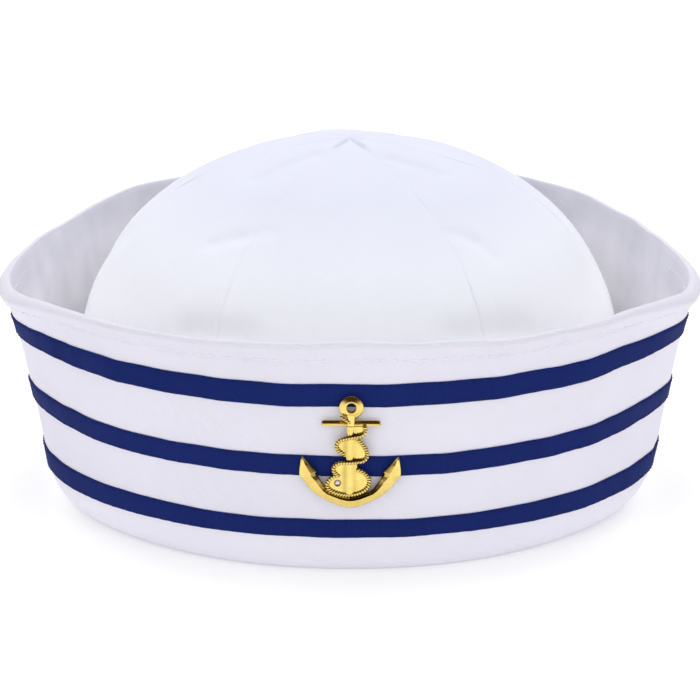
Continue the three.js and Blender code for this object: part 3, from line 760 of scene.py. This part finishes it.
crownCotton = cottonLook("crown cotton", crown["cotton"])
rows = []
for k, node in enumerate(crown["panels"]):
    middle = 2 * k * crown["halfPanel"]
    outer, inner, normals, radius, azimuth, way = panelGrid(middle)
    panel = panelShell(node + "_cloth", outer, inner, radius, azimuth - middle, way)
    dress(panel, crownCotton, "crown_cotton", node)
    # inside, a row of stitches holds down the seam allowance at either edge of the panel
    for side in (-1, 1):
        half = radius[0] * np.radians(crown["halfPanel"])
        share = side * (1 - (crown["fellWidth"] - 1.2) / np.maximum(half, 0.1))
        good = (side * share > 0.25) & (way > 0.01)
        index = np.interp(share[good], acrossPanel, np.arange(crown["columns"]))
        at = np.round(index).astype(int), np.nonzero(good)[0]
        rows.append(stitchRow(inner[at], -normals[at], crown["stitchPitch"], 80 + 2 * k + side, closed=False))
dress(stitchPiece("crown_stitches", rows, *crown["stitch"]), whiteThread, "crown_cotton")
print("crown made")


badge = {
    "width": badgeHigh[0] - badgeLow[0],
    "height": badgeHigh[2] - badgeLow[2] + 0.7,
    "foot": badgeLow[2] - 0.75,
    "plate": 0.95,
    "gilt": {"color": (0.88, 0.69, 0.225), "deep": (0.78, 0.57, 0.155), "patinaShadeColor": (0.10, 0.062, 0.016),
             "polish": 0.12},
    # one arm from its tip to the middle: outer and inner edge, shares of the half width and the height
    "arm": [
        (0.942, 0.459, 0.938, 0.458), (0.96, 0.435, 0.9, 0.439), (0.976, 0.407, 0.85, 0.415),
        (0.99, 0.37, 0.78, 0.38), (0.996, 0.33, 0.71, 0.348), (0.997, 0.301, 0.655, 0.324),
        (0.985, 0.283, 0.675, 0.306), (0.945, 0.262, 0.662, 0.29), (0.884, 0.226, 0.6, 0.262),
        (0.811, 0.18, 0.545, 0.222), (0.713, 0.1367, 0.475, 0.178), (0.61, 0.1, 0.39, 0.146),
        (0.457, 0.0614, 0.28, 0.129), (0.268, 0.0223, 0.15, 0.109), (0.098, 0.001, 0.05, 0.101),
        (0.0, -0.002, 0.0, 0.1)],
    "ridge": (0.6, 0.7),   # where across the arm its ridge runs, at the tip and in the middle
    # the rope: across, up, and how far it stands out over the shank or goes behind the sheet
    "rope": [
        (0.271, 0.735, 0), (0.293, 0.693, 0), (0.233, 0.661, 0.4), (0.123, 0.648, 0.8), (0.001, 0.639, 0.9),
        (-0.121, 0.624, 0.5), (-0.222, 0.601, 0), (-0.269, 0.56, 0), (-0.238, 0.522, 0), (-0.159, 0.494, -0.2),
        (-0.084, 0.472, -1), (0.006, 0.538, -1.6), (0.095, 0.618, -1), (0.132, 0.616, -0.2), (0.199, 0.594, 0),
        (0.274, 0.552, 0), (0.328, 0.502, 0), (0.32, 0.456, 0), (0.251, 0.429, 0.4), (0.133, 0.422, 0.8),
        (0.011, 0.417, 0.9), (-0.111, 0.411, 0.5), (-0.233, 0.399, 0), (-0.31, 0.375, 0), (-0.323, 0.341, 0),
        (-0.283, 0.31, -0.2), (-0.223, 0.292, -1), (-0.033, 0.323, -1.6), (0.117, 0.347, -1),
        (0.149, 0.344, -0.2), (0.211, 0.335, 0), (0.303, 0.304, 0), (0.37, 0.262, 0), (0.375, 0.22, 0),
        (0.317, 0.173, 0), (0.195, 0.139, 0), (0.049, 0.122, 0), (-0.098, 0.121, 0), (-0.262, 0.136, 0),
        (-0.395, 0.165, 0), (-0.447, 0.206, 0), (-0.417, 0.247, 0), (-0.337, 0.277, 0), (-0.24, 0.294, -0.2),
        (-0.191, 0.288, -1.2)],
    "ropeEnd": [
        (-0.2, 0.818, -0.4), (-0.15, 0.806, 0.0), (-0.1, 0.792, 0.25), (-0.05, 0.778, 0.3), (0.0, 0.765, -0.2)],
    # the sheet that fills the rope's bends: up, left edge, right edge
    "sheet": [
        (0.735, -0.077, 0.266), (0.69, -0.075, 0.293), (0.658, -0.049, 0.233), (0.639, -0.072, 0.123),
        (0.622, -0.12, 0.112), (0.603, -0.222, 0.162), (0.563, -0.269, 0.254), (0.524, -0.238, 0.3),
        (0.495, -0.159, 0.328), (0.472, -0.101, 0.327), (0.453, -0.083, 0.32), (0.426, -0.075, 0.251),
        (0.414, -0.111, 0.134), (0.401, -0.233, 0.122), (0.378, -0.31, 0.135), (0.344, -0.323, 0.137),
        (0.333, -0.315, 0.211), (0.31, -0.278, 0.29), (0.297, -0.24, 0.322), (0.281, -0.337, 0.34),
        (0.254, -0.417, 0.371), (0.208, -0.447, 0.372), (0.171, -0.395, 0.317), (0.138, -0.262, 0.195),
        (0.122, -0.098, 0.049)],
    "hole": (-0.244, 0.224, 0.85),     # the hole that the badge is fastened through: across, up, radius
    "threadSize": (1.5, 0.27),
    "turned": 0.5,         # degrees that the badge leans, about its arms at a share of its height
    "turnedAt": 0.235,
    "off": 0.66,           # clearance from the cloth, which leaves room for the tapes
    "ropeRadius": (0.72, 0.56),        # half its width, and half its height out of the brim
    "notch": 0.82,         # from one notch of the rope to the next
    "endScale": 0.72,      # thickness of the rope's loose end
    # the ring: its middle across and up, its radius, and its section, out from that radius and out of the brim
    "ring": (0.014, 0.893, 2.45),
    "ringSection": [
        (1.16, 0), (1.18, 0.25), (1.12, 0.4), (0.75, 0.63), (0.3, 0.9), (-0.1, 1.13), (-0.42, 1.3),
        (-0.62, 1.35), (-0.85, 1.3), (-1.02, 1.12), (-1.08, 0.85), (-1.08, 0)],
    # bars: both ends, half width at each, height, share of the width that is flat, and both edges as shares
    # of the height
    "stock": ((-0.57, 0.758), (0.586, 0.758), 0.8, 0.8, 1.15, 0.05, 0.82, 0.2),
    "neck": ((0.0, 0.68), (0.012, 0.848), 1.0, 1.25, 1.33, 0.6, 0.75, 0.75),
}


# The badge's back is a plane that touches the foremost tape and leans with the brim behind it.
def badgePlane():
    up = np.linspace(badge["foot"], badge["foot"] + badge["height"], 36)
    face = brimFace(np.zeros(36), up, False)
    lean = (face[-6] - face[5]) / (up[-6] - up[5])
    return lean, (face - lean * up).max() + badge["off"]


badge["lean"], badge["stand"] = badgePlane()
badgeHalf, badgeTall = badge["width"] / 2, badge["height"]     # what shares across and up are shares of


# Place on the badge: shares across and up, turned a little about the arms, and a height out of the brim.
def badgePoint(across, up, out):
    turned = math.radians(badge["turned"])
    dx = np.asarray(across) * badgeHalf
    dz = (np.asarray(up) - badge["turnedAt"]) * badgeTall
    x = dx * math.cos(turned) + dz * math.sin(turned)
    z = badge["foot"] + badge["turnedAt"] * badgeTall + dz * math.cos(turned) - dx * math.sin(turned)
    y = middleY - badge["stand"] - badge["lean"] * z - np.asarray(out)
    return np.stack(np.broadcast_arrays(x, y, z), -1)


# Smooth path through rows, by running length.
def pathThrough(rows, count):
    rows = np.asarray(rows, float)
    run = runLength(rows[:, :2] * [badgeHalf, badgeTall])
    return curveWeights(run, np.linspace(0, run[-1], count)) @ rows, run[-1]


# The grid of a bar or tube, closed at both ends by its end rings' middles. A part of the badge is its
# points, its quads and how dark each point is, with tarnish and painted shade.
def closedPart(grid, patinaAndShade=0.0):
    ends = [np.repeat(grid[[k]].mean(1, keepdims=True), grid.shape[1], 1) for k in (0, -1)]
    grid = np.concatenate([ends[0], grid, ends[1]])
    deep = np.zeros(grid.shape[:2])
    deep[1:-1] = patinaAndShade
    vertices = grid.reshape(-1, 3)
    return vertices, facingOut(vertices, gridQuads(*grid.shape[:2], False, True)[2]), deep.ravel()


# Both arms: at each station from tip to tip a section with a broad lower bevel, a steep upper one and a
# sharp ridge between them.
def armPart():
    arm = np.array(badge["arm"])
    stations = np.linspace(0, len(arm) - 1, 110)
    rows = np.stack([np.interp(stations, np.arange(len(arm)), arm[:, k]) for k in range(4)], 1)
    rows = np.concatenate([rows * [-1, 1, -1, 1], rows[::-1][1:]])
    outer, inner = rows[:, :2], rows[:, 2:]
    toMiddle = np.concatenate([stations, stations[::-1][1:]])[:, None] / stations[-1]
    ridge = badge["ridge"][0] + (badge["ridge"][1] - badge["ridge"][0]) * smooth(0.1, 0.6, toMiddle)
    lower = np.array([0, 0, 0.025, 0.07, 0.3, 0.6, 0.9, 0.97])
    upper = np.array([0, 0.05, 0.35, 0.7, 0.95, 1, 1])
    t = np.concatenate([ridge * lower, ridge + (1 - ridge) * upper], 1)
    out = np.array([0, 0.45, 0.62, 0.72, 1.03, 1.42, 1.8, 1.88, 1.9, 1.86, 1.55, 1.19, 0.92, 0.8, 0])[None]
    wide = np.linalg.norm((outer - inner) * [badgeHalf, badgeTall], axis=1)[:, None]
    out = out * np.where(out > 0.6, 0.42 + 0.58 * np.clip(wide / 2.8, 0, 1), 1)
    line = outer[:, None] + (inner - outer)[:, None] * t[..., None]
    tip = smooth(0.62, 0.5, toMiddle)
    # painted reflection: the upper bevel is darkened as if it mirrored the dark ceiling, on the left arm more towards
    # its tip and on the right arm more towards the middle
    bevelShade = np.where(outer[:, :1] < 0, 0.25 + 0.35 * tip, 0.92 - 0.75 * tip)
    return closedPart(badgePoint(line[..., 0], line[..., 1], out), bevelShade * (np.arange(15) > 8))


# Eye: a ring with a low outer face and its highest line near the hole.
def eyePart():
    turn = np.linspace(0, math.tau, 97)[:-1, None]
    wide, out = np.array(badge["ringSection"]).T[:, None]
    across, up, radius = badge["ring"]
    x, z = (radius + wide) * np.cos(turn), (radius + wide) * np.sin(turn) + 0.12 * (wide[0, 0] - wide)
    points = badgePoint(across + x / badgeHalf, up + z / badgeTall, out)
    vertices = points.reshape(-1, 3)
    return vertices, facingOut(vertices, gridQuads(*points.shape[:2], True, True)[2]), np.zeros(len(vertices))


# A bar between two ends: a section with a flat top and two bevels, the first on the right of its direction.
def barPart(start, end, halfStart, halfEnd, top, flatness, edge, upperEdge):
    t = np.linspace(0, 1, 24)[:, None]
    start, end = np.array(start, float), np.array(end, float)
    step = (end - start) * [badgeHalf, badgeTall]
    side = np.array([-step[1], step[0]]) / np.hypot(*step)
    atEnd = np.exp(-((0.5 - np.abs(t - 0.5)) / 0.02))
    half = (halfStart + (halfEnd - halfStart) * t) * (1 - 0.25 * atEnd)
    s = np.array([flatness * 0.5, flatness, 0.86, 0.97, 1, 1])
    s = np.concatenate([-s[::-1], [0], s])[None]
    edges = np.array([edge, upperEdge])
    low, high = edges + (0.98 - edges) * (1 - 0.86) / (1 - flatness)
    out = top * np.array([0, edge - 0.12, edge, low, 0.98, 1, 1, 1, 0.98, high, upperEdge, upperEdge - 0.12, 0])[None]
    out = out * (1 - 0.2 * atEnd)
    centre = start + (end - start) * t
    x = centre[:, :1] * badgeHalf + side[0] * half * s
    z = centre[:, 1:] * badgeTall + side[1] * half * s
    return closedPart(badgePoint(x / badgeHalf, z / badgeTall, out))


# Rope: a flattened tube along the path. Notches cross it at a steady pitch and slant a little: its radius is
# less by a third of exp(-(distance to the notch / 0.2)^2), with that distance in shares of the pitch.
def ropePart(rows, count, scale=1.0):
    path, length = pathThrough(rows, count)
    out = badge["plate"] + 0.2 + path[:, 2] * np.where(path[:, 2] > 0, 0.75, 0.7)
    centre = badgePoint(path[:, 0], path[:, 1], out)
    along = unit(np.gradient(centre, axis=0))
    side = unit(np.cross(along, np.array([0, -1.0, 0])))
    up = np.cross(side, along)
    angle = np.linspace(0, math.tau, 17)[None, :-1]
    turn = np.linspace(0, length, count)[:, None] / badge["notch"] + 0.22 * np.cos(angle)
    groove = np.exp(-((np.abs(turn % 1 - 0.5) - 0.5) / 0.2) ** 2)
    size = (1 - 0.32 * groove)[..., None]
    wide, high = [scale * radius for radius in badge["ropeRadius"]]
    away = side[:, None] * (wide * np.cos(angle))[..., None] + up[:, None] * (high * np.sin(angle))[..., None]
    # painted shade: where the rope stands over the shank, its upward-facing side also gets the dark colour, besides
    # the tarnish in its notches
    shaded = smooth(0.2, 0.7, path[:, 2:]) * smooth(0.05, 0.5, away[..., 2])
    return closedPart(centre[:, None] + size * away, np.clip(0.8 * groove + 0.75 * shaded, 0, 1))


# The sheet that fills the rope's bends: rows of points between its left and right edge, domed, with a soft
# swell where the shank runs behind it. Quads that touch the hole are left out, and the points round it are
# drawn onto its circle. A wall joins the front to the flat back wherever a quad has no neighbour.
def sheetPart():
    rows = np.array(badge["sheet"])[::-1]
    up = np.linspace(rows[0, 0], rows[-1, 0], 150)
    left, right = [np.interp(up, rows[:, 0], rows[:, k])[:, None] for k in (1, 2)]
    t = np.linspace(0, 1, 64)[None]
    x = (left + (right - left) * t) * badgeHalf
    z = np.broadcast_to(up[:, None], x.shape) * badgeTall
    holeX, holeZ, radius = badge["hole"][0] * badgeHalf, badge["hole"][1] * badgeTall, badge["hole"][2]
    away = np.hypot(x - holeX, z - holeZ)
    inHole = away < radius
    kept = ~(inHole[:-1, :-1] | inHole[1:, :-1] | inHole[1:, 1:] | inHole[:-1, 1:])
    beside = np.zeros(x.shape, bool)
    for i, j in ((0, 0), (1, 0), (1, 1), (0, 1)):
        beside[i:len(x) - 1 + i, j:x.shape[1] - 1 + j] |= ~kept
    pulled = np.where(beside & ~inHole, radius / away, 1)
    x, z = holeX + (x - holeX) * pulled, holeZ + (z - holeZ) * pulled
    across, up = x / badgeHalf, z / badgeTall
    fromShank = np.abs(across + 0.006) * badgeHalf
    half = 1.3 - 0.4 * up
    rise = 0.12 * np.sin(t * np.pi) + 0.5 * np.exp(-(fromShank / half) ** 4)
    lip = np.exp(-((np.hypot(x - holeX, z - holeZ) - radius) / 0.2) ** 2)
    front, back = badgePoint(across, up, badge["plate"] + rise - 0.15 * lip), badgePoint(across, up, 0.0)
    n, m = x.shape
    index = np.arange(n * m).reshape(n, m)
    quads = gridQuads(n, m, False, False)[2][kept.ravel()]
    faces = [quads, quads[:, ::-1] + n * m]
    around = np.pad(kept, 1)
    for a, b, first, second in ((around[:-1, 1:-1], around[1:, 1:-1], index[:, :-1], index[:, 1:]),
                                (around[1:-1, 1:], around[1:-1, :-1], index[:-1], index[1:])):
        for edge, p, q in ((b & ~a, first, second), (a & ~b, second, first)):
            p, q = p[edge], q[edge]
            faces.append(np.stack([p, q, q + n * m, p + n * m], -1))
    used, faces = np.unique(np.concatenate(faces), return_inverse=True)
    vertices = np.concatenate([front.reshape(-1, 3), back.reshape(-1, 3)])[used]
    # tarnish and painted shade: a dark band in the valley beside the shank, stronger on the left side
    valley = np.exp(-((fromShank - half - 0.3) / 0.8) ** 2) * np.where(across < 0, 0.3, 0.12)
    # tarnish and painted shade: the sunken lip round the hole is darkened
    deep = np.concatenate([(0.6 * lip + valley).ravel(), np.zeros(n * m)])
    return vertices, facingOut(vertices, faces.reshape(-1, 4)), deep[used]


parts = [armPart(), eyePart(), barPart(*badge["stock"]), barPart(*badge["neck"]), ropePart(badge["rope"], 960),
         ropePart(badge["ropeEnd"], 60, badge["endScale"]), sheetPart()]
vertices, faces, patinaAndShade = zip(*parts)
starts = np.cumsum([0] + [len(part) for part in vertices])
faces = np.concatenate([part + start for part, start in zip(faces, starts)])
giltBadge = meshPiece("anchor_badge_gilt", np.concatenate(vertices), faces, None, np.concatenate(patinaAndShade), 0.0005)
dress(giltBadge, giltLook("gilt", badge["gilt"]), "gilt_badge", "anchor_badge")

# the white thread that shows in the badge's hole
shape, faces = stitchShape(*badge["threadSize"])
beside = np.array([[-0.43, 0, -0.1], [0, 0, -0.02], [0.43, 0, -0.12]])
centres = badgePoint(*badge["hole"][:2], 0.55) + beside
axes = [np.tile([axis], (3, 1)) for axis in ([0.2, 0, 0.98], [0.98, 0, -0.2], [0, -1.0, 0])]
thread = scatterPiece("badge_thread", shape, faces, centres, *axes)
dress(thread, whiteThread, "brim_cotton")
print("badge made")


studio = {
    "floor": (0.88, 0.88, 0.875),
    "floorHalf": 6.0,      # in metres
    "glow": 0.22,          # light that the floor gives by itself
    "distance": 1339.0, "elevation": 17.5, "aim": 39.1,
    "focal": 4147.0,       # in pixels of a 700 pixel wide picture
    "ambient": 0.48,
    # what polished metal mirrors: shares of the way up from the horizon, and colours
    "mirrored": [
        (0.0, (1.0, 1.0, 1.0)), (0.15, (0.92, 0.88, 0.84)), (0.36, (0.3, 0.21, 0.13)), (0.54, (0.05, 0.028, 0.012))],
    "tilt": 0.04,          # slant of that horizon from left to right
    # soft lights in pairs left and right of the front: azimuth, elevation, power
    "lights": [
        ("top", 0, 90, 10.8), ("sides", 75, 50, 2.8), ("fronts", 30, 40, 2.8), ("low", 50, 12, 3.0),
        ("backs", 140, 45, 9.6)],
    "lightDistance": 2.0, "lightSize": 1.2, "lightAim": 0.05,     # in metres
}


def flatLook(name, color):
    look = Look(name)
    tone = look.noise(look.body, 3.0, 2.0)
    mixed = look.blend(tone, tuple(c * 0.99 for c in color), color)
    return look.finish({"Base Color": mixed}, {"Roughness": 0.95, "Specular IOR Level": 0.1,
                                               "Emission Color": (1, 1, 1, 1), "Emission Strength": studio["glow"]})


side, low = studio["floorHalf"], -0.02 * mm
mesh = bpy.data.meshes.new("floor")
mesh.from_pydata([(-side, -side, low), (-side, side, low), (side, side, low), (side, -side, low)], [], [[3, 2, 1, 0]])
floor = bpy.data.objects.new("floor", mesh)
bpy.context.scene.collection.objects.link(floor)
floor.data.materials.append(flatLook("pale floor", studio["floor"]))


def setStops(ramp, stops):
    elements = ramp.color_ramp.elements
    while len(elements) < len(stops):
        elements.new(0.5)
    for element, (position, color) in zip(elements, stops):
        element.position, element.color = position, (*color, 1)


# The surroundings light the cloth evenly. Polished metal mirrors a bright horizon and a dark ceiling.
def surroundings():
    world = bpy.data.worlds.new("studio")
    world.use_nodes = True
    tree = world.node_tree
    tree.nodes.clear()
    coordinate = tree.nodes.new("ShaderNodeTexCoord")
    height = tree.nodes.new("ShaderNodeVectorMath")
    height.operation = "DOT_PRODUCT"
    height.inputs[1].default_value = (studio["tilt"], 0.0, 1.0)
    ramp = tree.nodes.new("ShaderNodeValToRGB")
    even, mirrored = [tree.nodes.new("ShaderNodeBackground") for _ in range(2)]
    path, mix = tree.nodes.new("ShaderNodeLightPath"), tree.nodes.new("ShaderNodeMixShader")
    out = tree.nodes.new("ShaderNodeOutputWorld")
    tree.links.new(coordinate.outputs["Generated"], height.inputs[0])
    tree.links.new(height.outputs["Value"], ramp.inputs["Fac"])
    setStops(ramp, studio["mirrored"])
    tree.links.new(ramp.outputs["Color"], mirrored.inputs["Color"])
    even.inputs["Color"].default_value = (1, 1, 1, 1)
    even.inputs["Strength"].default_value = studio["ambient"]
    tree.links.new(path.outputs["Is Glossy Ray"], mix.inputs["Fac"])
    tree.links.new(even.outputs[0], mix.inputs[1])
    tree.links.new(mirrored.outputs[0], mix.inputs[2])
    tree.links.new(mix.outputs[0], out.inputs["Surface"])
    return world


# A soft round light that aims at the hat and isn't mirrored in the badge.
def softLight(name, azimuth, elevation, power):
    light = bpy.data.lights.new(name, "AREA")
    light.shape, light.size, light.energy = "DISK", studio["lightSize"], power
    lamp = bpy.data.objects.new(name, light)
    bpy.context.scene.collection.objects.link(lamp)
    around, up = math.radians(azimuth), math.radians(elevation)
    away = Vector((math.sin(around) * math.cos(up), -math.cos(around) * math.cos(up), math.sin(up)))
    lamp.location = away * studio["lightDistance"] + Vector((0, 0, studio["lightAim"]))
    lamp.rotation_mode = "QUATERNION"
    lamp.rotation_quaternion = away.to_track_quat("Z", "Y")
    lamp.visible_glossy = False


scene = bpy.context.scene
scene.world = surroundings()
for name, azimuth, height, power in studio["lights"]:
    softLight(name + "_left", azimuth, height, power)
    if azimuth % 180:
        softLight(name + "_right", -azimuth, height, power)

elevation = math.radians(studio["elevation"])
camera = bpy.data.cameras.new("camera")
camera.sensor_width = 36.0
camera.lens = studio["focal"] * 36.0 / 700
camera.clip_end = 50.0
eye = bpy.data.objects.new("camera", camera)
scene.collection.objects.link(eye)
away = studio["distance"] * mm
eye.location = (0, middleY * mm - away * math.cos(elevation), studio["aim"] * mm + away * math.sin(elevation))
eye.rotation_euler = (math.pi / 2 - elevation, 0, 0)
scene.camera = eye
scene.view_settings.view_transform = "Standard"

print("scene made")
